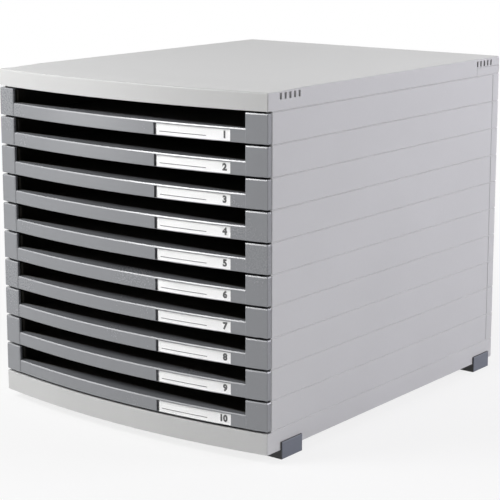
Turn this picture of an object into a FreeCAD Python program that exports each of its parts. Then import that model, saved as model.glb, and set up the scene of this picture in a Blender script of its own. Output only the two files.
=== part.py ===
"""Desktop drawer box: a housing of snapped-together shells that holds ten shallow drawers.

Millimetres. X runs across the box, Y from the front to the back and Z up. The origin is under the
middle of the box, on the surface that the feet stand on. Each piece is drawn in its own body, whose
Y starts at the corner line: the straight line across the front where the two side faces end. The
front bulges forwards of that line, so its depths are negative.
"""
import FreeCAD, Part
import Sketcher
import math
import os
import re

# Every driving size, under the name that it has in the sheet.
SIZES = {
    # The housing as a whole
    "width": 315.0,
    "side_depth": 386.5,            # from the corner line to the back
    "front_bow": 15.0,              # how far the front bulges past the corner line
    "tier_count": 10,
    "tier_height": 27.5,
    "housing_wall": 2.2,
    "front_corner_radius": 1.0,
    "rear_corner_radius": 3.0,
    "joint_chamfer": 0.8,           # two of these make the groove at every tier
    "joint_clearance": 0.2,
    "tongue_thickness": 1.6,
    "tongue_reach": 4.0,

    # Top cover
    "cover_height": 17.2,
    "cover_top": 2.2,
    "cover_front_wall": 3.0,
    "valley_drop": 1.0,             # a shallow valley runs across the top behind the front edge
    "valley_depth": 15.5,
    "valley_end": 50.0,
    "cover_edge_radius": 1.6,
    "slit_width": 3.0,
    "slit_spacing": 6.6,
    "slit_count": 5,
    "slit_bottom": 9.5,
    "slit_height": 5.5,
    "front_slit_depth": 17.8,       # centre of the first slit
    "rear_slit_setback": 18.5,      # from the back to the centre of the last slit
    "clip_length": 43.0,
    "clip_height": 8.8,
    "clip_thickness": 1.2,
    "clip_chamfer": 0.7,

    # Base
    "base_height": 19.5,
    "base_floor": 2.0,
    "base_front_wall": 3.0,

    # Side panels, with a runner and a stop for each drawer
    "panel_setback": 6.0,           # the drawer fronts wrap round in front of the panels
    "panel_edge_radius": 1.0,
    "runner_width": 6.0,
    "runner_thickness": 1.6,
    "runner_start": 8.0,
    "rear_space": 28.5,             # from the ends of the runners and trays to the back
    "stop_setback": 10.0,
    "stop_length": 2.5,
    "stop_width": 5.0,
    "stop_bottom": 4.4,
    "stop_height": 11.6,

    # Back panel, wrapped round the rear corners
    "back_wrap": 13.7,
    "lap_length": 10.0,

    # Feet
    "foot_drop": 8.5,
    "foot_length": 29.8,
    "foot_reach": 30.0,             # how far the pad runs in under the base
    "foot_plate_height": 7.2,       # how far the plate climbs the side
    "foot_plate_thickness": 1.8,
    "foot_edge_radius": 0.8,
    "front_foot_depth": 19.0,
    "rear_foot_setback": 10.1,
    "peg_radius": 3.0,
    "peg_clearance": 0.1,

    # Drawer trays
    "running_gap": 0.3,             # between a tray and its runners
    "side_clearance": 0.5,
    "tray_floor": 1.8,
    "tray_wall": 1.8,
    "tray_wall_setback": 1.0,       # from a runner's inner edge to the tray's wall
    "tray_top": 24.5,               # above the tier's own line
    "lug_length": 10.0,
    "lug_width": 4.5,
    "lug_height": 12.0,
    "drawer_travel": 260.0,
    "stop_clearance": 0.5,

    # Drawer fronts
    "front_gap": 0.9,               # above and below each front
    "front_wall": 3.0,
    "front_return": 5.5,            # how far the ends wrap round the sides
    "tab_width": 21.0,
    "bar_setback": 0.7,             # the bar stands this far behind the tabs' faces
    "bar_top": 13.3,                # above the tier's own line
    "ledge_thickness": 1.8,
    "ledge_depth": 2.5,             # the finger ledge ends this far behind the corner line
    "rib_thickness": 1.6,
    "rib_inner": 35.0,
    "rib_outer": 128.0,
    "front_edge_radius": 0.7,
    "bevel_width": 1.0,             # around the tabs' and the bar's upper edges
    "bevel_depth": 0.6,

    # Labels
    "label_side_margin": 35.3,
    "label_length": 77.9,
    "label_slot": 2.8,              # open through the wall, to push the card out
    "label_bottom_margin": 0.6,
    "label_top_margin": 1.7,
    "label_recess": 1.4,
    "window_setback": 0.1,
    "window_thickness": 0.9,
    "card_thickness": 0.3,
    "label_clearance": 0.1,
}

# Places and lengths that follow from the sizes. All are expressions on the sheet's cells.
HALF = "width / 2"
INNER = "width / 2 - housing_wall"
CORNER_LINE = "(front_bow - side_depth) / 2"
STACK = "tier_count * tier_height"
PANEL_LEVEL = "foot_drop + base_height"
COVER_LEVEL = f"{PANEL_LEVEL} + {STACK}"
BOW_RADIUS = "((width / 2) ^ 2 + front_bow ^ 2) / (2 * front_bow)"
BOW_CENTRE = f"{BOW_RADIUS} - front_bow"
THROUGH = "2 * (side_depth + front_bow)"

BACK_INNER = "side_depth - housing_wall"
BACK_START = "side_depth - back_wrap"
REAR_SLIT_DEPTH = "side_depth - rear_slit_setback - (slit_count - 1) * slit_spacing"
CLIP_END = "side_depth - rear_corner_radius"
CLIP_START = f"{CLIP_END} - clip_length"
REAR_FOOT_DEPTH = "side_depth - rear_foot_setback - foot_length"
PEG_X = f"{HALF} - foot_reach / 2"
TONGUE_OUTER = f"{INNER} - joint_clearance"
TONGUE_INNER = f"{TONGUE_OUTER} - tongue_thickness"
RUNNER_INNER = f"{INNER} - runner_width"
RUNNER_END = "side_depth - rear_space"

TRAY_BOTTOM = "runner_thickness + running_gap"
TRAY_FLOOR_TOP = f"{TRAY_BOTTOM} + tray_floor"
TRAY_EDGE = f"{INNER} - side_clearance"
TRAY_OUTER = f"{RUNNER_INNER} - tray_wall_setback"
TRAY_INNER = f"{TRAY_OUTER} - tray_wall"
LUG_FRONT = "stop_setback + stop_length + drawer_travel + stop_clearance"

FRONT_TOP = "tier_height - front_gap"
FRONT_HEIGHT = "tier_height - 2 * front_gap"
TAB_EDGE = f"{HALF} - tab_width"
LABEL_END = f"{HALF} - label_side_margin"
LABEL_START = f"{LABEL_END} - label_length"
LABEL_BOTTOM = "front_gap + label_bottom_margin"
LABEL_TOP = "bar_top - label_top_margin"
LABEL_BACK = "bar_setback + label_recess"

SHEET = "Sizes"
TOLERANCE = 0.01

document = FreeCAD.newDocument("DrawerBox")
sheet = document.addObject("Spreadsheet::Sheet", SHEET)
for row, (alias, value) in enumerate(SIZES.items(), start=1):
    sheet.set(f"A{row}", alias)
    sheet.set(f"B{row}", str(value))
    sheet.setAlias(f"B{row}", alias)
document.recompute()


# ---- Helpers -------------------------------------------------------------------------------------

def bound(expression):
    """Write an expression on the size names as one on the sheet's cells."""
    def cell(match):
        word = match.group()
        return f"{SHEET}.{word}" if word in SIZES else word
    return re.sub(r"[a-z]\w*", cell, expression)


def number(expression):
    """Work out an expression on the size names now, as a plain number."""
    return float(sheet.evalExpression(bound(expression)))


def new_body(label, level="0"):
    """Start a piece whose own origin is on the corner line, at the given height."""
    body = document.addObject("PartDesign::Body", label)
    body.Label = label
    body.setExpression("Placement.Base.y", bound(CORNER_LINE))
    body.setExpression("Placement.Base.z", bound(level))
    return body


def origin_feature(body, role):
    """Find one of the body's own origin planes or axes."""
    return next(item for item in body.Origin.OriginFeatures if item.Role == role)


def new_sketch(body, name, plane, offset):
    """Attach an empty sketch to one of the body's planes, moved along the plane's normal."""
    sketch = body.newObject("Sketcher::SketchObject", name)
    sketch.AttachmentSupport = (origin_feature(body, plane), "")
    sketch.MapMode = "FlatFace"
    sketch.setExpression("AttachmentOffset.Base.z", bound(offset))
    return sketch


def fix(sketch, kind, geometry, point, expression):
    """Tie one coordinate of a sketch point to an expression. A leading minus puts it below zero."""
    if expression == "0":
        axis = -2 if kind == "DistanceX" else -1
        sketch.addConstraint(Sketcher.Constraint("PointOnObject", geometry, point, axis))
        return
    if expression.startswith("-"):
        size = expression[1:]
        ends = (geometry, point, -1, 1)
    else:
        size = expression
        ends = (-1, 1, geometry, point)
    index = sketch.addConstraint(Sketcher.Constraint(kind, *ends, number(size)))
    sketch.setExpression(f"Constraints[{index}]", bound(size))


def draw_loop(sketch, corners, bows=None):
    """Draw a closed loop through corners given as pairs of expressions.

    bows maps the number of a stretch to its distance behind the front's face: that stretch is an arc
    about the bow's centre, and the second coordinate of its ends follows from the arc.
    """
    bows = bows or {}
    count = len(corners)
    centre = number(BOW_CENTRE)
    radii = {stretch: number(f"{BOW_RADIUS} - ({setback})") for stretch, setback in bows.items()}

    def place(index):
        across, along = corners[index % count]
        x = number(across)
        if along is not None:
            return FreeCAD.Vector(x, number(along), 0)
        stretch = index % count if index % count in bows else (index - 1) % count
        return FreeCAD.Vector(x, centre - math.sqrt(radii[stretch] ** 2 - x ** 2), 0)

    starts = []
    ends = []
    for index in range(count):
        first, second = place(index), place(index + 1)
        if index not in bows:
            geometry = sketch.addGeometry(Part.LineSegment(first, second))
            starts.append((geometry, 1))
            ends.append((geometry, 2))
            continue
        radius = radii[index]
        circle = Part.Circle(FreeCAD.Vector(0, centre, 0), FreeCAD.Vector(0, 0, 1), radius)
        left, right = sorted((math.asin(first.x / radius), math.asin(second.x / radius)))
        down = -math.pi / 2
        geometry = sketch.addGeometry(Part.ArcOfCircle(circle, down + left, down + right))
        rightwards = first.x < second.x
        starts.append((geometry, 1 if rightwards else 2))
        ends.append((geometry, 2 if rightwards else 1))
        fix(sketch, "DistanceX", geometry, 3, "0")
        fix(sketch, "DistanceY", geometry, 3, BOW_CENTRE)
        ring = sketch.addConstraint(Sketcher.Constraint("Radius", geometry, radius))
        size = f"{BOW_RADIUS} - ({bows[index]})"
        sketch.setExpression(f"Constraints[{ring}]", bound(size))

    for index, (across, along) in enumerate(corners):
        joined = (*ends[index - 1], *starts[index])
        sketch.addConstraint(Sketcher.Constraint("Coincident", *joined))
        fix(sketch, "DistanceX", *starts[index], across)
        if along is not None:
            fix(sketch, "DistanceY", *starts[index], along)


def outline(body, name, plane, offset, corners, bows=None):
    """Sketch one closed loop."""
    sketch = new_sketch(body, name, plane, offset)
    draw_loop(sketch, corners, bows)
    return sketch


def circles(body, name, offset, centres, radius):
    """Sketch equal circles at pairs of expressions."""
    sketch = new_sketch(body, name, "XY_Plane", offset)
    for across, along in centres:
        centre = FreeCAD.Vector(number(across), number(along), 0)
        circle = Part.Circle(centre, FreeCAD.Vector(0, 0, 1), number(radius))
        geometry = sketch.addGeometry(circle)
        fix(sketch, "DistanceX", geometry, 3, across)
        fix(sketch, "DistanceY", geometry, 3, along)
        ring = sketch.addConstraint(Sketcher.Constraint("Radius", geometry, number(radius)))
        sketch.setExpression(f"Constraints[{ring}]", bound(radius))
    return sketch


def pad(body, name, sketch, length):
    """Add material along the sketch's normal."""
    feature = body.newObject("PartDesign::Pad", name)
    feature.Profile = sketch
    feature.setExpression("Length", bound(length))
    document.recompute()
    return feature


def cut(body, name, sketch, length, both_ways=False):
    """Take material away along the sketch's normal, and make sure that something went."""
    before = body.Shape.Volume
    feature = body.newObject("PartDesign::Pocket", name)
    feature.Profile = sketch
    feature.Reversed = True
    feature.setExpression("Length", bound(length))
    feature.SideType = "Symmetric" if both_ways else "One side"
    document.recompute()
    if body.Shape.Volume > before - TOLERANCE:
        raise RuntimeError(f"{body.Label}: {name} cuts nothing")
    return feature


def block(body, name, across, along, up, action=pad, both_sides=False):
    """Add or cut a block that spans three pairs of expressions, on one side or on both."""
    (x0, x1), (y0, y1), (z0, z1) = across, along, up
    sketch = new_sketch(body, f"{name}_sketch", "XY_Plane", z0)
    draw_loop(sketch, [(x0, y0), (x1, y0), (x1, y1), (x0, y1)])
    if both_sides:
        left, right = f"-({x1})", f"-({x0})"
        draw_loop(sketch, [(left, y0), (right, y0), (right, y1), (left, y1)])
    return action(body, name, sketch, f"({z1}) - ({z0})")


def repeat(body, role, spacing, count, feature=None):
    """Repeat a feature, or the whole body so far, in a row along one of the body's axes."""
    name = feature.Name if feature else "module"
    pattern = body.newObject("PartDesign::LinearPattern", f"{name}_row")
    if feature:
        pattern.Originals = [feature]
    else:
        pattern.TransformMode = "Whole shape"
    pattern.Direction = (origin_feature(body, role), [""])
    pattern.Mode = "Spacing"
    pattern.setExpression("Offset", bound(spacing))
    pattern.setExpression("Occurrences", bound(count))
    body.Tip = pattern
    document.recompute()
    return pattern


def edges_within(body, across=None, along=None, up=None, bow=None):
    """Name the edges that lie wholly inside the spans, with the left side counted as the right.

    bow keeps only the edges that follow the front's bow, that far behind its face.
    """
    spans = []
    for span in (across, along, up):
        low, high = (number(end) for end in span) if span else (-math.inf, math.inf)
        spans.append((low - TOLERANCE, high + TOLERANCE))
    centre = number(BOW_CENTRE)
    radius = number(BOW_RADIUS) - number(bow or "0")
    names = []
    for index, edge in enumerate(body.Tip.Shape.Edges, start=1):
        if edge.Degenerated:
            continue
        points = edge.discretize(5)
        inside = all(low <= value <= high
                     for point in points
                     for value, (low, high) in zip((abs(point.x), point.y, point.z), spans))
        bowed = all(abs(math.hypot(point.x, point.y - centre) - radius) < TOLERANCE
                    for point in points)
        if inside and (bowed or bow is None):
            names.append(f"Edge{index}")
    return names


def soften(body, name, kind, size, edges, depth=None):
    """Round or chamfer edges by a size from the sheet, or by a width and another depth."""
    if not edges:
        raise RuntimeError(f"{body.Label}: {name} finds no edge")
    base = body.Tip
    feature = body.newObject(f"PartDesign::{kind}", name)
    feature.Base = (base, edges)
    feature.setExpression("Radius" if kind == "Fillet" else "Size", bound(size))
    if depth:
        feature.ChamferType = "Two distances"
        feature.setExpression("Size2", bound(depth))
    document.recompute()
    return feature


def other_hand(label, source):
    """Make the left-hand copy of a right-hand piece."""
    copy = document.addObject("Part::Mirroring", label)
    copy.Label = label
    copy.Source = source
    copy.Normal = FreeCAD.Vector(1, 0, 0)
    document.recompute()
    return copy


# ---- Housing -------------------------------------------------------------------------------------

def shell_plan(body, name, offset, wall, front_wall):
    """Sketch the housing's plan, bowed in front, moved inwards by its walls."""
    side = f"{HALF} - {wall}"
    back = f"side_depth - {wall}"
    corners = [(f"-({side})", None), (side, None), (side, back), (f"-({side})", back)]
    return outline(body, name, "XY_Plane", offset, corners, bows={0: front_wall})


def round_corners(body):
    """Round the upright corners of a shell."""
    soften(body, "rear_corners", "Fillet", "rear_corner_radius",
           edges_within(body, (HALF, HALF), ("side_depth", "side_depth")))
    soften(body, "front_corners", "Fillet", "front_corner_radius",
           edges_within(body, (HALF, HALF), ("0", "0")))


def joint_edges(body, level):
    """Find the outer edge at a level, along the sides and the back."""
    corner = (f"{HALF} - rear_corner_radius", HALF)
    rear = ("side_depth - rear_corner_radius", "side_depth")
    sides = edges_within(body, (HALF, HALF), ("panel_setback", "side_depth"), (level, level))
    corners = edges_within(body, corner, rear, (level, level))
    back = edges_within(body, None, ("side_depth", "side_depth"), (level, level))
    return sorted(set(sides + corners + back))


def make_top_cover():
    """Moulded lid: a bowed front band, and a shallow valley across the top behind it."""
    body = new_body("top_cover", COVER_LEVEL)
    pad(body, "shell", shell_plan(body, "plan", "0", "0", "0"), "cover_height")
    round_corners(body)
    bottom = "cover_height - valley_drop"
    above = "cover_height + 1"
    front = "-(front_bow + 1)"
    profile = [(front, "cover_height"), ("valley_depth", bottom), ("valley_end", "cover_height"),
               ("valley_end", above), (front, above)]
    cut(body, "valley", outline(body, "valley_profile", "YZ_Plane", "0", profile), THROUGH,
        both_ways=True)

    folds = [edge for depth in ("valley_depth", "valley_end")
             for edge in edges_within(body, None, (depth, depth))]
    rim = [edge for edge in edges_within(body, None, None, (bottom, "cover_height"))
           if edge not in folds]
    soften(body, "top_edges", "Fillet", "cover_edge_radius", rim)
    block(body, "front_step", (f"-({HALF} + 1)", f"{HALF} + 1"), (front, "panel_setback"),
          ("-1", "front_gap"), cut)
    soften(body, "joint", "Chamfer", "joint_chamfer", joint_edges(body, "0"))
    hollow = shell_plan(body, "hollow_plan", "0", "housing_wall", "cover_front_wall")
    cut(body, "hollow", hollow, f"{bottom} - cover_top")

    # Upright slits near each corner, open to the inside of the cover
    for name, middle in (("front_slit", "front_slit_depth"), ("rear_slit", REAR_SLIT_DEPTH)):
        along = (f"{middle} - slit_width / 2", f"{middle} + slit_width / 2")
        slit = block(body, name, (INNER, f"{HALF} + 1"), along,
                     ("slit_bottom", "slit_bottom + slit_height"), cut, both_sides=True)
        repeat(body, "Y_Axis", "slit_spacing", "slit_count", slit)

    # Shallow seats for the corner clips
    block(body, "clip_seat", (f"{HALF} - clip_thickness", f"{HALF} + 1"), (CLIP_START, CLIP_END),
          ("0", "clip_height"), cut, both_sides=True)
    return body


def make_corner_clip():
    """Small plate, flush in the cover's side, that locks it to the back panel."""
    body = new_body("rear_corner_clip_right", COVER_LEVEL)
    along = (f"{CLIP_START} + joint_clearance", f"{CLIP_END} - joint_clearance")
    top = "clip_height - joint_clearance"
    block(body, "plate", (f"{HALF} - clip_thickness", HALF), along, ("0", top))
    soften(body, "joint", "Chamfer", "joint_chamfer",
           edges_within(body, (HALF, HALF), None, ("0", "0")))
    soften(body, "outline", "Chamfer", "clip_chamfer",
           edges_within(body, (HALF, HALF), None, ("joint_chamfer", top)))
    return body


def make_base():
    """Shallow tray under the bottom drawer, with the same bowed front as the cover."""
    body = new_body("base", "foot_drop")
    pad(body, "shell", shell_plan(body, "plan", "0", "0", "0"), "base_height")
    round_corners(body)
    front_top = "base_height - front_gap"
    block(body, "front_step", (f"-({HALF} + 1)", f"{HALF} + 1"), ("-(front_bow + 1)", "panel_setback"),
          (front_top, "base_height + 1"), cut)
    soften(body, "joint", "Chamfer", "joint_chamfer", joint_edges(body, "base_height"))
    soften(body, "front_edge", "Fillet", "front_edge_radius",
           edges_within(body, None, None, (front_top, front_top), bow="0"))
    hollow = shell_plan(body, "hollow_plan", "base_floor", "housing_wall", "base_front_wall")
    cut(body, "hollow", hollow, "base_height")
    pegs = [(f"{sign}({PEG_X})", f"{depth} + foot_length / 2")
            for sign in ("", "-") for depth in ("front_foot_depth", REAR_FOOT_DEPTH)]
    cut(body, "peg_holes", circles(body, "peg_plan", "0", pegs, "peg_radius + peg_clearance"),
        "base_floor")
    return body


def make_side_panel():
    """Right-hand wall with a runner and a stop for each drawer, and a tongue along each edge."""
    body = new_body("right_side_panel", PANEL_LEVEL)
    depths = ("panel_setback", BACK_START)
    block(body, "wall", (INNER, HALF), depths, ("0", STACK))
    soften(body, "front_edge", "Fillet", "panel_edge_radius",
           edges_within(body, (HALF, HALF), ("panel_setback", "panel_setback")))
    soften(body, "joints", "Chamfer", "joint_chamfer",
           joint_edges(body, "0") + joint_edges(body, STACK)
           + edges_within(body, (HALF, HALF), (BACK_START, BACK_START)))
    groove = [(f"{HALF} - joint_chamfer", "tier_height"),
              (f"{HALF} + joint_chamfer", "tier_height - 2 * joint_chamfer"),
              (f"{HALF} + joint_chamfer", "tier_height + 2 * joint_chamfer")]
    groove_cut = cut(body, "groove", outline(body, "groove_profile", "XZ_Plane", "0", groove),
                     THROUGH, both_ways=True)
    repeat(body, "Z_Axis", "tier_height", "tier_count - 1", groove_cut)

    rail = ((RUNNER_INNER, INNER), ("runner_start", RUNNER_END))
    runner = block(body, "runner", *rail, ("0", "runner_thickness"))
    repeat(body, "Z_Axis", "tier_height", "tier_count", runner)
    block(body, "top_rail", *rail, (f"{STACK} - runner_thickness", STACK))
    stop = block(body, "stop", (f"{INNER} - stop_width", INNER),
                 ("stop_setback", "stop_setback + stop_length"),
                 ("stop_bottom", "stop_bottom + stop_height"))
    repeat(body, "Z_Axis", "tier_height", "tier_count", stop)

    tongue = ((TONGUE_INNER, TONGUE_OUTER), ("runner_start", RUNNER_END))
    block(body, "lower_tongue", *tongue, ("-(tongue_reach)", "runner_thickness"))
    block(body, "upper_tongue", *tongue, (f"{STACK} - runner_thickness", f"{STACK} + tongue_reach"))
    return body


def make_back_panel():
    """Back wall that wraps round both rear corners, moulded in one piece with a groove per tier."""
    body = new_body("back_panel", PANEL_LEVEL)
    plan = [(HALF, BACK_START), (HALF, "side_depth"), (f"-({HALF})", "side_depth"),
            (f"-({HALF})", BACK_START), (f"-({INNER})", BACK_START), (f"-({INNER})", BACK_INNER),
            (INNER, BACK_INNER), (INNER, BACK_START)]
    pad(body, "tier", outline(body, "plan", "XY_Plane", "0", plan), "tier_height")
    soften(body, "rear_corners", "Fillet", "rear_corner_radius",
           edges_within(body, (HALF, HALF), ("side_depth", "side_depth")))
    soften(body, "joints", "Chamfer", "joint_chamfer",
           joint_edges(body, "0") + joint_edges(body, "tier_height")
           + edges_within(body, (HALF, HALF), (BACK_START, BACK_START)))
    repeat(body, "Z_Axis", "tier_height", "tier_count")
    block(body, "lap", (TONGUE_INNER, TONGUE_OUTER),
          (f"{BACK_START} - lap_length", "side_depth - housing_wall / 2"),
          ("0", STACK), both_sides=True)
    block(body, "tongue", (TONGUE_INNER, TONGUE_OUTER),
          (f"{BACK_START} - lap_length", f"{BACK_INNER} - joint_clearance"),
          ("-(tongue_reach)", f"{STACK} + tongue_reach"), both_sides=True)
    return body


def make_foot(label, depth):
    """Right-hand foot: a pad under the base and a plate that climbs its side, held by a peg."""
    body = new_body(label)
    outer = f"{HALF} + foot_plate_thickness"
    inner = f"{HALF} - foot_reach"
    top = "foot_drop + foot_plate_height"
    profile = [(inner, "0"), (outer, "0"), (outer, top), (HALF, top), (HALF, "foot_drop"),
               (inner, "foot_drop")]
    sketch = outline(body, "profile", "XZ_Plane", f"-({depth} + foot_length)", profile)
    pad(body, "angle", sketch, "foot_length")
    soften(body, "edges", "Fillet", "foot_edge_radius", edges_within(body, (outer, outer)))
    peg = circles(body, "peg_plan", "foot_drop", [(PEG_X, f"{depth} + foot_length / 2")],
                  "peg_radius")
    pad(body, "peg", peg, "base_floor")
    return body


# ---- Drawers -------------------------------------------------------------------------------------

def tier_level(tier):
    """Height of a tier's own line. Tier 1 is at the top."""
    return f"{PANEL_LEVEL} + (tier_count - {tier}) * tier_height"


def make_tray(tier):
    """Open tray whose floor runs on the side panels' runners, with a stop lug on each side."""
    body = new_body(f"drawer_tray_{tier:02d}", tier_level(tier))
    depths = ("ledge_depth", RUNNER_END)
    block(body, "floor", (f"-({TRAY_EDGE})", TRAY_EDGE), depths, (TRAY_BOTTOM, TRAY_FLOOR_TOP))
    block(body, "walls", (f"-({TRAY_OUTER})", TRAY_OUTER), depths, (TRAY_FLOOR_TOP, "tray_top"))
    block(body, "inside", (f"-({TRAY_INNER})", TRAY_INNER),
          ("ledge_depth + tray_wall", f"{RUNNER_END} - tray_wall"),
          (TRAY_FLOOR_TOP, "tray_top + 1"), cut)
    block(body, "mouth", (f"-({TAB_EDGE})", TAB_EDGE), ("ledge_depth", "ledge_depth + tray_wall"),
          ("bar_top", "tray_top + 1"), cut)
    block(body, "lugs", (TRAY_OUTER, f"{TRAY_OUTER} + lug_width"),
          (LUG_FRONT, f"{LUG_FRONT} + lug_length"),
          (TRAY_FLOOR_TOP, f"{TRAY_FLOOR_TOP} + lug_height"), both_sides=True)
    return body


def behind_front(body, name, spans, up):
    """Pad webs that reach from inside the bowed wall back to the tray, one for each span."""
    low, high = up
    sketch = new_sketch(body, f"{name}_plan", "XY_Plane", low)
    for left, right in spans:
        corners = [(left, None), (right, None), (right, "ledge_depth"), (left, "ledge_depth")]
        draw_loop(sketch, corners, bows={0: "front_wall / 2"})
    return pad(body, name, sketch, f"({high}) - ({low})")


def bow_strip(body, name, across, setbacks, offset):
    """Sketch a strip that follows the bow between two distances behind the front's face."""
    left, right = across
    near, far = setbacks
    corners = [(left, None), (right, None), (right, None), (left, None)]
    return outline(body, name, "XY_Plane", offset, corners, bows={0: near, 2: far})


def make_drawer_front(tier):
    """Bowed front with a tab at each end, a low bar between them and a ledge to pull it by."""
    body = new_body(f"drawer_front_{tier:02d}", tier_level(tier))
    inner = f"{HALF} - front_wall"
    plan = [(f"-({HALF})", None), (HALF, None), (HALF, "front_return"), (inner, "front_return"),
            (inner, None), (f"-({inner})", None), (f"-({inner})", "front_return"),
            (f"-({HALF})", "front_return")]
    wall = outline(body, "plan", "XY_Plane", "front_gap", plan, bows={0: "0", 4: "front_wall"})
    pad(body, "wall", wall, FRONT_HEIGHT)
    soften(body, "corners", "Fillet", "front_corner_radius",
           edges_within(body, (HALF, HALF), ("0", "0")))
    bar = (f"-({TAB_EDGE})", TAB_EDGE)
    cut(body, "bar_face", bow_strip(body, "bar_plan", bar, ("-1", "bar_setback"), "front_gap"),
        FRONT_HEIGHT)
    block(body, "mouth", bar, ("-(front_bow + 1)", "front_return"), ("bar_top", FRONT_TOP), cut)
    behind_front(body, "ledge", [(f"-({inner})", inner)], ("bar_top - ledge_thickness", "bar_top"))
    soften(body, "bevels", "Chamfer", "bevel_width",
           edges_within(body, None, None, (FRONT_TOP, FRONT_TOP), bow="0")
           + edges_within(body, (TAB_EDGE, TAB_EDGE), bow="0")
           + edges_within(body, None, None, ("bar_top", "bar_top"), bow="bar_setback"),
           "bevel_depth")
    soften(body, "edges", "Fillet", "front_edge_radius",
           edges_within(body, None, None, ("front_gap", "front_gap"), bow="0")
           + edges_within(body, None, None, ("front_gap", "front_gap"), bow="bar_setback")
           + edges_within(body, (HALF, HALF), ("front_return", "front_return")))
    ribs = []
    for middle in ("rib_inner", "rib_outer"):
        near = f"{middle} - rib_thickness / 2"
        far = f"{middle} + rib_thickness / 2"
        ribs += [(near, far), (f"-({far})", f"-({near})")]
    behind_front(body, "ribs", ribs, ("front_gap", "bar_top - ledge_thickness / 2"))
    label_height = f"{LABEL_TOP} - ({LABEL_BOTTOM})"
    recess = bow_strip(body, "label_plan", (LABEL_START, LABEL_END), ("-1", LABEL_BACK),
                       LABEL_BOTTOM)
    cut(body, "label_recess", recess, label_height)
    slot = bow_strip(body, "slot_plan", (LABEL_START, f"{LABEL_START} + label_slot"),
                     ("-1", "front_wall + 1"), LABEL_BOTTOM)
    cut(body, "label_slot", slot, label_height)
    return body


def make_label_piece(label, tier, near, far):
    """Thin strip that fits the label recess, between two distances behind the front's face."""
    body = new_body(f"{label}_{tier:02d}", tier_level(tier))
    across = (f"{LABEL_START} + label_slot", f"{LABEL_END} - label_clearance")
    strip = bow_strip(body, "plan", across, (near, far), f"{LABEL_BOTTOM} + label_clearance")
    pad(body, "strip", strip, f"{LABEL_TOP} - ({LABEL_BOTTOM}) - 2 * label_clearance")
    return body


# ---- Assembly and output -------------------------------------------------------------------------

pieces = [make_top_cover(), make_base(), make_side_panel(), make_back_panel(), make_corner_clip(),
          make_foot("foot_front_right", "front_foot_depth"),
          make_foot("foot_rear_right", REAR_FOOT_DEPTH)]
pieces += [other_hand(piece.Label.replace("right", "left"), piece)
           for piece in pieces if "right" in piece.Label]
for tier in range(1, SIZES["tier_count"] + 1):
    pieces.append(make_tray(tier))
    pieces.append(make_drawer_front(tier))
    pieces.append(make_label_piece("label_card", tier, f"{LABEL_BACK} - card_thickness", LABEL_BACK))
    pieces.append(make_label_piece("label_window", tier, "bar_setback + window_setback",
                                   "bar_setback + window_setback + window_thickness"))
document.recompute()

for item in document.Objects:
    if "Invalid" in item.State or "Error" in item.State:
        raise RuntimeError(f"{item.Label} failed: {item.State}")
for piece in pieces:
    if piece.Shape.isNull() or not piece.Shape.isValid():
        raise RuntimeError(f"{piece.Label} has no valid shape")
    if len(piece.Shape.Solids) != 1:
        raise RuntimeError(f"{piece.Label} is not one solid")

os.makedirs("parts", exist_ok=True)
for piece in pieces:
    piece.Shape.exportStep(f"parts/{piece.Label}.step")
    print(f"{piece.Label}: {piece.Shape.Volume / 1000:.1f} cm3")
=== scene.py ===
import math

import bpy
from mathutils import Matrix, Vector


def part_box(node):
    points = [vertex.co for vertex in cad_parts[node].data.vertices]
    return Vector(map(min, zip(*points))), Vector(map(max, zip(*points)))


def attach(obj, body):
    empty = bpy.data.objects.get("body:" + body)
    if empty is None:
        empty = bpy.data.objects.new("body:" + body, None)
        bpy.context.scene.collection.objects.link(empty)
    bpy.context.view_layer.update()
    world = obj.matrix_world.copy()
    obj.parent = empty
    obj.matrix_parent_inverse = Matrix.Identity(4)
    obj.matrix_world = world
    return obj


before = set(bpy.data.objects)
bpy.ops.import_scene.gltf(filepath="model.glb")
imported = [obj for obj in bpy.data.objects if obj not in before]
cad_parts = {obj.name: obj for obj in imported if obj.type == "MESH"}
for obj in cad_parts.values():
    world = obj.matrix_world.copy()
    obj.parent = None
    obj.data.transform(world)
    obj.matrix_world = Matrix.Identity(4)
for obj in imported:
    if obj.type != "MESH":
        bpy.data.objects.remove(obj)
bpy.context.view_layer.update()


# ---- The studio ----
# The box stands on a white table, seen from beyond its right front corner and a little above.
# Soft lamps stand before it, mostly to its left, and one each lights its right side and its back.

bpy.context.scene.view_settings.view_transform = "Standard"
lens = bpy.data.cameras.new("camera")
lens.sensor_width = 36.0
focal_pixels, frame_pixels = 1608.4, 500.0
lens.lens = lens.sensor_width * focal_pixels / frame_pixels
lens.shift_y = -0.10
lens.clip_end = 100.0
turned, looking_down = 37.730, 10.696
camera = bpy.data.objects.new("camera", lens)
bpy.context.scene.collection.objects.link(camera)
camera.matrix_world = (Matrix.Translation((0.9461, -1.2290, 0.4776))
                       @ Matrix.Rotation(math.radians(turned), 4, "Z")
                       @ Matrix.Rotation(math.radians(90.0 - looking_down), 4, "X"))
bpy.context.scene.camera = camera


def linear(code):
    """Turn an sRGB hex colour into the linear values that a shader takes."""
    values = [int(code[at:at + 2], 16) / 255 for at in (1, 3, 5)]
    return [v / 12.92 if v <= 0.04045 else ((v + 0.055) / 1.055) ** 2.4 for v in values] + [1.0]


def add_node(tree, kind, settings=None, **sockets):
    """Add a node. A socket is named with _ for a space, or as n and its number, and takes a value
    or another node's output."""
    node = tree.nodes.new("ShaderNode" + kind)
    for name, value in (settings or {}).items():
        setattr(node, name, value)
    for name, value in sockets.items():
        key = int(name[1:]) if name[1:].isdigit() else name.replace("_", " ")
        if isinstance(value, bpy.types.NodeSocket):
            tree.links.new(value, node.inputs[key])
        else:
            node.inputs[key].default_value = value
    return node


def new_material(name):
    """Start a material that holds nothing but its output."""
    material = bpy.data.materials.new(name)
    material.use_nodes = True
    material.node_tree.nodes.clear()
    return material, material.node_tree, add_node(material.node_tree, "OutputMaterial")


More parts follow.
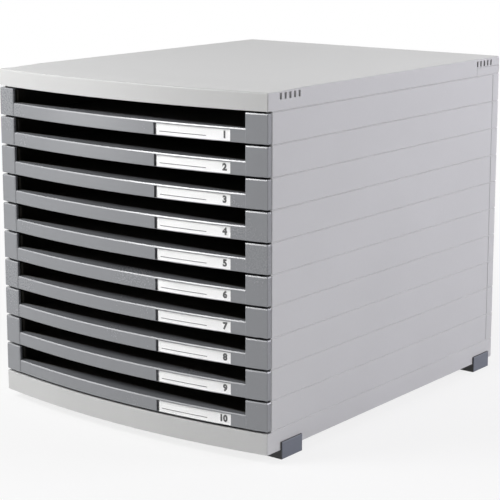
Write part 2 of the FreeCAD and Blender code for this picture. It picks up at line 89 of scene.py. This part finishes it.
def seen_share(tree):
    """Give 1 where a surface is seen straight, mirrored or through glass, and 0 where it lights."""
    path = add_node(tree, "LightPath")
    mirrored = add_node(tree, "Math", {"operation": "MAXIMUM"}, n0=path.outputs["Is Glossy Ray"],
                        n1=path.outputs["Is Transmission Ray"])
    return add_node(tree, "Math", {"operation": "MAXIMUM"}, n0=path.outputs["Is Camera Ray"],
                    n1=mirrored.outputs[0]).outputs[0]


# White table paper: it is matt, and so evenly lit that it reads as plain white to the eye, with
# only the box's soft shadow on it. The shadow has gone 1.1 m from the middle of the box.
shadow_near, shadow_far, near_white = 0.3, 1.1, 0.80
table_paper, tree, output = new_material("matt_white_table_paper")
place = add_node(tree, "TexCoord").outputs["Object"]
away = add_node(tree, "VectorMath", {"operation": "LENGTH"}, n0=place)
bleach = add_node(tree, "MapRange", n0=away.outputs["Value"], n1=shadow_near, n2=shadow_far,
                  n3=near_white, n4=1.0)
share = add_node(tree, "Math", {"operation": "MULTIPLY"}, n0=seen_share(tree),
                 n1=bleach.outputs[0])
lit = add_node(tree, "BsdfDiffuse", Color=linear("#F4F4F4"))
white = add_node(tree, "Emission", Color=linear("#FFFFFF"), Strength=1.0)
both = add_node(tree, "MixShader", n0=share.outputs[0], n1=lit.outputs[0], n2=white.outputs[0])
tree.links.new(both.outputs[0], output.inputs["Surface"])

bpy.ops.object.select_all(action="DESELECT")
bpy.ops.mesh.primitive_plane_add(size=40.0, location=(0.0, 0.0, 0.0))
table = bpy.context.object
table.name = "table"
table.data.materials.append(table_paper)

studio = bpy.data.worlds.new("studio")
bpy.context.scene.world = studio
studio.use_nodes = True
studio.node_tree.nodes.clear()
tree = studio.node_tree
white = add_node(tree, "Background", Color=linear("#FFFFFF"), Strength=1.0)
room = add_node(tree, "Background", Color=linear("#FFFFFF"), Strength=0.10)
both = add_node(tree, "MixShader", n0=seen_share(tree), n1=room.outputs[0], n2=white.outputs[0])
add_node(tree, "OutputWorld", Surface=both.outputs[0])


def softbox(name, place, aim, size, power, colour="#FFFFFF"):
    """Hang a rectangular lamp that faces a point. The camera doesn't see it."""
    lamp = bpy.data.lights.new(name, "AREA")
    lamp.shape = "RECTANGLE"
    lamp.size, lamp.size_y = size
    lamp.energy = power
    lamp.color = linear(colour)[:3]
    holder = bpy.data.objects.new(name, lamp)
    bpy.context.scene.collection.objects.link(holder)
    holder.location = place
    holder.rotation_euler = (Vector(aim) - Vector(place)).to_track_quat("-Z", "Y").to_euler()
    holder.visible_camera = False


front, middle = (0.0, -0.15, 0.17), (0.0, 0.0, 0.25)
softbox("softbox_close", (-0.430, -0.814, 0.95), front, (0.40, 0.40), 6.4)
softbox("softbox_left", (-1.048, -0.881, 0.85), front, (0.70, 0.80), 5.4)
softbox("softbox_low", (-1.316, -1.428, 0.25), front, (0.60, 0.45), 1.8)
softbox("softbox_front", (0.223, -1.784, 0.90), front, (0.60, 0.80), 2.2)
softbox("softbox_right", (1.60, 1.10, 0.80), middle, (1.00, 1.00), 22.4, "#F6F4FF")
softbox("softbox_back", (-0.30, 1.80, 1.50), middle, (1.60, 1.00), 10.6)


# ---- Base, side panels and back panel ----
# The lower shells of the housing: a shallow tray, two walls with the drawers' runners inside and a
# back that wraps round the corners. Injection moulded in light grey, and snapped together.

def moulded(name, light, dark, gloss, grain, relief, shine=0.5):
    """Plastic as it leaves a mould: a fine grain, and a slow drift in shade where the melt ran.
    grain and relief are the pits' spacing and depth in metres, gloss the least and most roughness
    and shine the strength of the reflection."""
    melt_drift, speck_spacing = 0.090, 1.6 * grain
    material, tree, output = new_material(name)
    place = add_node(tree, "TexCoord").outputs["Object"]
    flow = add_node(tree, "TexNoise", Vector=place, Scale=1 / melt_drift, Detail=2.0,
                    Roughness=0.45)
    speck = add_node(tree, "TexNoise", Vector=place, Scale=1 / speck_spacing, Detail=2.0,
                     Roughness=0.5)
    pits = add_node(tree, "TexNoise", Vector=place, Scale=1 / grain, Detail=2.0, Roughness=0.5)
    mixed = add_node(tree, "Mix", {"data_type": "FLOAT"}, n0=0.3, n2=flow.outputs["Fac"],
                     n3=speck.outputs["Fac"])
    spread = add_node(tree, "MapRange", n0=mixed.outputs[0], n1=0.36, n2=0.64)
    shade = add_node(tree, "Mix", {"data_type": "RGBA"}, n0=spread.outputs[0], n6=linear(dark),
                     n7=linear(light))
    sheen = add_node(tree, "MapRange", n0=mixed.outputs[0], n1=0.3, n2=0.7, n3=gloss[0],
                     n4=gloss[1])
    bump = add_node(tree, "Bump", Strength=0.4, Distance=relief, Height=pits.outputs["Fac"])
    shader = add_node(tree, "BsdfPrincipled", Base_Color=shade.outputs[2],
                      Roughness=sheen.outputs[0], IOR=1.57, Specular_IOR_Level=shine,
                      Normal=bump.outputs[0])
    tree.links.new(shader.outputs[0], output.inputs["Surface"])
    return material


def finish(material, *names):
    """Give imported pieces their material."""
    for name in names:
        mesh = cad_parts[name].data
        mesh.materials.clear()
        mesh.materials.append(material)


# High-impact polystyrene with a spark-eroded grain: a soft matt light grey with hardly any shine.
# The real grain is near 0.1 mm apart, too fine to show, so it is drawn at 0.9 mm.
light_polystyrene = moulded("moulded_polystyrene_light_grey", "#D2D2D1", "#CECECD", (0.50, 0.62),
                            0.0009, 0.00004)
finish(light_polystyrene, "base", "left_side_panel", "right_side_panel", "back_panel")


# ---- Top cover and corner clips ----
# The lid closes the housing and has ventilation slits at its corners. Two clips, flush in
# its sides, lock it to the back panel. Same moulding as the shells under it.

finish(light_polystyrene, "top_cover", "rear_corner_clip_left", "rear_corner_clip_right")


# ---- Feet ----
# Four angle feet, each a pad under the base and a plate up its side, pressed in with a peg. Slate
# grey plastic, with all but the plate's outer face painted near black as the shade under the base.

# Polypropylene from a fine-blasted mould: a dark slate grey with a waxy, dull shine. Inside the
# 0.5 mm outer face the foot is painted near black: painted shade, not a second material.
slate_with_painted_shade = moulded("moulded_polypropylene_slate_painted_shade", "#6A6F7A", "#666B76", (0.44, 0.56),
                              0.0008, 0.00003)
tree = slate_with_painted_shade.node_tree
shader = next(node for node in tree.nodes if node.type == "BSDF_PRINCIPLED")
slate_face_thickness = 0.0005
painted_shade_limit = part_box("foot_front_right")[1].x - slate_face_thickness
place = add_node(tree, "SeparateXYZ", Vector=add_node(tree, "TexCoord").outputs["Object"])
side = add_node(tree, "Math", {"operation": "ABSOLUTE"}, n0=place.outputs["X"])
slate_face_mask = add_node(tree, "Math", {"operation": "GREATER_THAN"}, n0=side.outputs[0], n1=painted_shade_limit)
# Painted shade: near black wherever the foot lies inside its outer 0.5 mm slate face.
colour = add_node(tree, "Mix", {"data_type": "RGBA"}, n0=slate_face_mask.outputs[0], n6=linear("#17171A"),
                  n7=shader.inputs["Base Color"].links[0].from_socket)
tree.links.new(colour.outputs[2], shader.inputs["Base Color"])
finish(slate_with_painted_shade, "foot_front_left", "foot_front_right", "foot_rear_left",
       "foot_rear_right")


# ---- Drawer trays ----
# Ten open trays that run on the panels' runners, moulded in black and left plain.

# Black polystyrene from a smooth mould: deep and even, with a satin shine on its floor.
black_polystyrene = moulded("moulded_polystyrene_black", "#3B3934", "#35332F", (0.40, 0.52),
                            0.0012, 0.00003)
tiers = range(1, 11)
finish(black_polystyrene, *(f"drawer_tray_{tier:02d}" for tier in tiers))


# ---- Drawer fronts ----
# Ten bowed fronts, each with a tab at both ends, a low bar to look over and a ledge to pull it by.
# They are moulded apart from the trays and snapped on to them.

# Mid-grey polystyrene with a finer grain than the shells, polished more: a satin shine, so the
# bevelled edges catch light in thin lines.
mid_polystyrene = moulded("moulded_polystyrene_mid_grey", "#838589", "#808286", (0.25, 0.28),
                          0.0008, 0.00001, shine=1.0)
finish(mid_polystyrene, *(f"drawer_front_{tier:02d}" for tier in tiers))


# ---- Label cards and windows ----
# A printed card lies in the recess at the right of each bar, under a clear strip that snaps in
# over it. The print is a ruled line to write on and the drawer's number.

# Coated white card: bright, flat and matt, with the faint cloudiness of paper.
white_card = moulded("coated_white_card", "#E0E0E0", "#DCDCDC", (0.62, 0.72), 0.0006, 0.00001)
finish(white_card, *(f"label_card_{tier:02d}" for tier in tiers))

# Printing ink: near black, a touch glossier than the card, and a little uneven in its cover.
black_ink = moulded("printing_ink_black", "#1E1E20", "#161618", (0.45, 0.60), 0.0004, 0.00001)

# Clear polystyrene strip: it shows the card straight through, with a thin shine on its face.
clear_polystyrene, tree, output = new_material("clear_polystyrene_strip")
place = add_node(tree, "TexCoord").outputs["Object"]
wave = add_node(tree, "TexNoise", Vector=place, Scale=1 / 0.012, Detail=1.0, Roughness=0.4)
haze = add_node(tree, "MapRange", n0=wave.outputs["Fac"], n1=0.3, n2=0.7, n3=0.04, n4=0.09)
bump = add_node(tree, "Bump", Strength=0.3, Distance=0.00002, Height=wave.outputs["Fac"])
strip = add_node(tree, "BsdfPrincipled", Base_Color=linear("#FDFDFD"), Roughness=haze.outputs[0],
                 IOR=1.45, Transmission_Weight=1.0, Normal=bump.outputs[0])
clear = add_node(tree, "BsdfTransparent", Color=linear("#FAFAFA"))
path = add_node(tree, "LightPath")
both = add_node(tree, "MixShader", n0=path.outputs["Is Shadow Ray"], n1=strip.outputs[0],
                n2=clear.outputs[0])
tree.links.new(both.outputs[0], output.inputs["Surface"])
finish(clear_polystyrene, *(f"label_window_{tier:02d}" for tier in tiers))

# The bars' faces share the base's bow, a little further in, and the cards lie behind them.
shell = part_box("base")
half_width = (shell[1].x - shell[0].x) / 2
bow, bar_setback, card_setback = 0.015, 0.0007, 0.0011
bow_radius = (half_width ** 2 + bow ** 2) / (2 * bow)
bow_centre = shell[0].y + bow_radius
card_radius = bow_radius - bar_setback - card_setback
card_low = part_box("label_card_01")[0]
print_thickness = 0.00004


def deselect():
    """Leave nothing selected, so that an operator acts on the new piece alone."""
    bpy.ops.object.select_all(action="DESELECT")


def solidify_print(piece):
    """Close a print's mesh and turn its faces outwards."""
    bpy.ops.object.mode_set(mode="EDIT")
    bpy.ops.mesh.select_all(action="SELECT")
    bpy.ops.mesh.remove_doubles(threshold=0.000001)
    bpy.ops.mesh.normals_make_consistent(inside=False)
    bpy.ops.object.mode_set(mode="OBJECT")
    piece.data.materials.append(black_ink)


# The writing line is a strip 0.6 mm high, spun round the bow's own centre, 3 mm up the card.
line_start, line_end, line_height, line_lift = 0.050, 0.098, 0.0006, 0.0030
start_turn = math.asin(line_start / card_radius)
line_turn = math.asin(line_end / card_radius) - start_turn
deselect()
bpy.ops.mesh.primitive_plane_add(size=1.0, location=(0.0, 0.0, 0.0))
line = bpy.context.object
line.scale = (print_thickness, line_height, 1.0)
line.rotation_euler = (math.radians(90.0), 0.0, math.radians(90.0) + start_turn)
line.location = (math.sin(start_turn) * (card_radius + print_thickness / 2),
                 bow_centre - math.cos(start_turn) * (card_radius + print_thickness / 2),
                 card_low.z + line_lift)
bpy.ops.object.transform_apply(location=True, rotation=True, scale=True)
bpy.ops.object.mode_set(mode="EDIT")
bpy.ops.mesh.select_all(action="SELECT")
bpy.ops.mesh.spin(steps=16, angle=-line_turn, center=(0.0, bow_centre, 0.0), axis=(0.0, 0.0, 1.0))
bpy.ops.object.mode_set(mode="OBJECT")
solidify_print(line)

figure_size, figure_weight, figure_margin = 0.0080, 0.00048, 0.0040
for tier in tiers:
    low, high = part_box(f"label_card_{tier:02d}")
    deselect()
    if tier > 1:
        line.select_set(True)
        bpy.context.view_layer.objects.active = line
        bpy.ops.object.duplicate()
        line = bpy.context.object
        line.location.z = low.z - last_low
        bpy.ops.object.transform_apply(location=True, rotation=True, scale=True)
    last_low = low.z
    line.name = f"card_writing_line_{tier:02d}"
    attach(line, f"drawer_{tier:02d}")

    # The number is a bold figure near 6 mm high, its right edge 4 mm from the card's end.
    deselect()
    bpy.ops.object.text_add(location=(0.0, 0.0, 0.0))
    number = bpy.context.object
    number.name = f"card_number_{tier:02d}"
    number.data.body = str(tier)
    number.data.size = figure_size
    number.data.offset = figure_weight
    number.data.align_x = "RIGHT"
    number.data.align_y = "CENTER"
    number.data.resolution_u = 4
    number.data.extrude = print_thickness / 2
    bpy.ops.object.convert(target="MESH")
    turn = math.asin((high.x - figure_margin) / card_radius)
    out = card_radius + print_thickness / 2
    number.rotation_euler = (math.radians(90.0), 0.0, turn)
    number.location = (math.sin(turn) * out, bow_centre - math.cos(turn) * out,
                       (low.z + high.z) / 2)
    bpy.ops.object.transform_apply(location=True, rotation=True, scale=True)
    solidify_print(number)
    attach(number, f"drawer_{tier:02d}")
